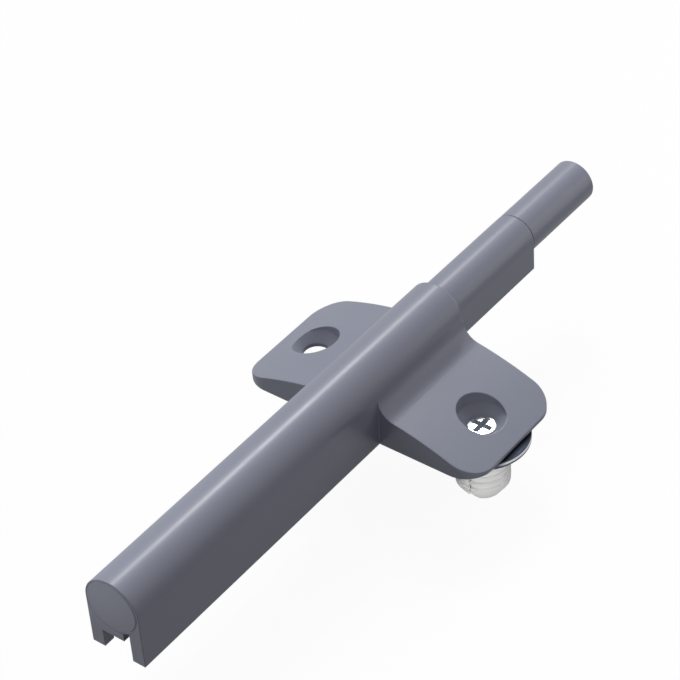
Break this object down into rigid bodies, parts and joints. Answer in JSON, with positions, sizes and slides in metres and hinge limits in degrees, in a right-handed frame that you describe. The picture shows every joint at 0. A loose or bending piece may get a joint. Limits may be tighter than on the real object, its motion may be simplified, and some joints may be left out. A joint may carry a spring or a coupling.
{
  "type": "telescoping soft close door buffer",
  "caption": "Sprung, damped plunger with a magnet tip in a tunnel-shaped adapter with two screw wings; strike disc, screw and dowel under one wing.",
  "frame": {"origin": "midway between the two screw holes, on the mounting face under the wings", "axes": "+Y along the plunger to its tip, +X to the wing that carries the screw, +Z away from the panel it is fixed to"},
  "size_m": [0.0463, 0.1181, 0.0261],
  "materials": {
    "grey_plastic": "moulded, fine satin",
    "plug_plastic": "moulded, fine satin",
    "dark_plastic": "moulded",
    "white_plastic": "moulded, smooth",
    "dowel_plastic": "moulded, natural",
    "bright_steel": "ground",
    "spring_steel": "drawn wire",
    "nickel_plate": "polished plate",
    "zinc_plate": "bright zinc plate",
    "magnet_nickel": "satin nickel plate",
    "brass": "turned",
    "black_rubber": "moulded",
    "grey_foam": "closed-cell foam"
  },
  "bodies": {
    "housing_body": {"housing": "grey_plastic", "rear_plug": "plug_plastic", "spring_washer": "bright_steel", "return_spring": "spring_steel", "piston_rod": "bright_steel", "piston": "brass", "valve_ring": "white_plastic", "piston_clips": "spring_steel", "strike_disc": "nickel_plate", "wall_screw": "zinc_plate", "dowel": "dowel_plastic"},
    "plunger": {"sleeve": "grey_plastic", "stop_key": "dark_plastic", "damper_cylinder": "white_plastic", "rod_guide": "dark_plastic", "rod_seal": "black_rubber", "seal_washer": "bright_steel", "volume_foam": "grey_foam"},
    "magnet_slide": {"pole_cup": "nickel_plate", "magnet": "magnet_nickel"},
    "tip_screw": {"tip": "grey_plastic", "friction_ring": "black_rubber"}
  },
  "joints": [
    {"name": "plunger_push", "type": "slide", "parent": "housing_body", "child": "plunger", "axis": [0, 1, 0], "range_m": [-0.02, 0], "stiffness_N_per_m": 180, "springref_m": 0.012, "deforming": ["return_spring"]},
    {"name": "tip_travel", "type": "slide", "parent": "plunger", "child": "magnet_slide", "axis": [0, 1, 0], "range_m": [0, 0.005]},
    {"name": "tip_turn", "type": "hinge", "parent": "magnet_slide", "child": "tip_screw", "pos_m": [0, 0.033, 0.0095], "axis": [0, 1, 0], "range_deg": [0, 1440]}
  ],
  "couplings": [
    {"joint": "tip_turn", "follows": "tip_travel", "rad_per_m": 5026.5}
  ]
}
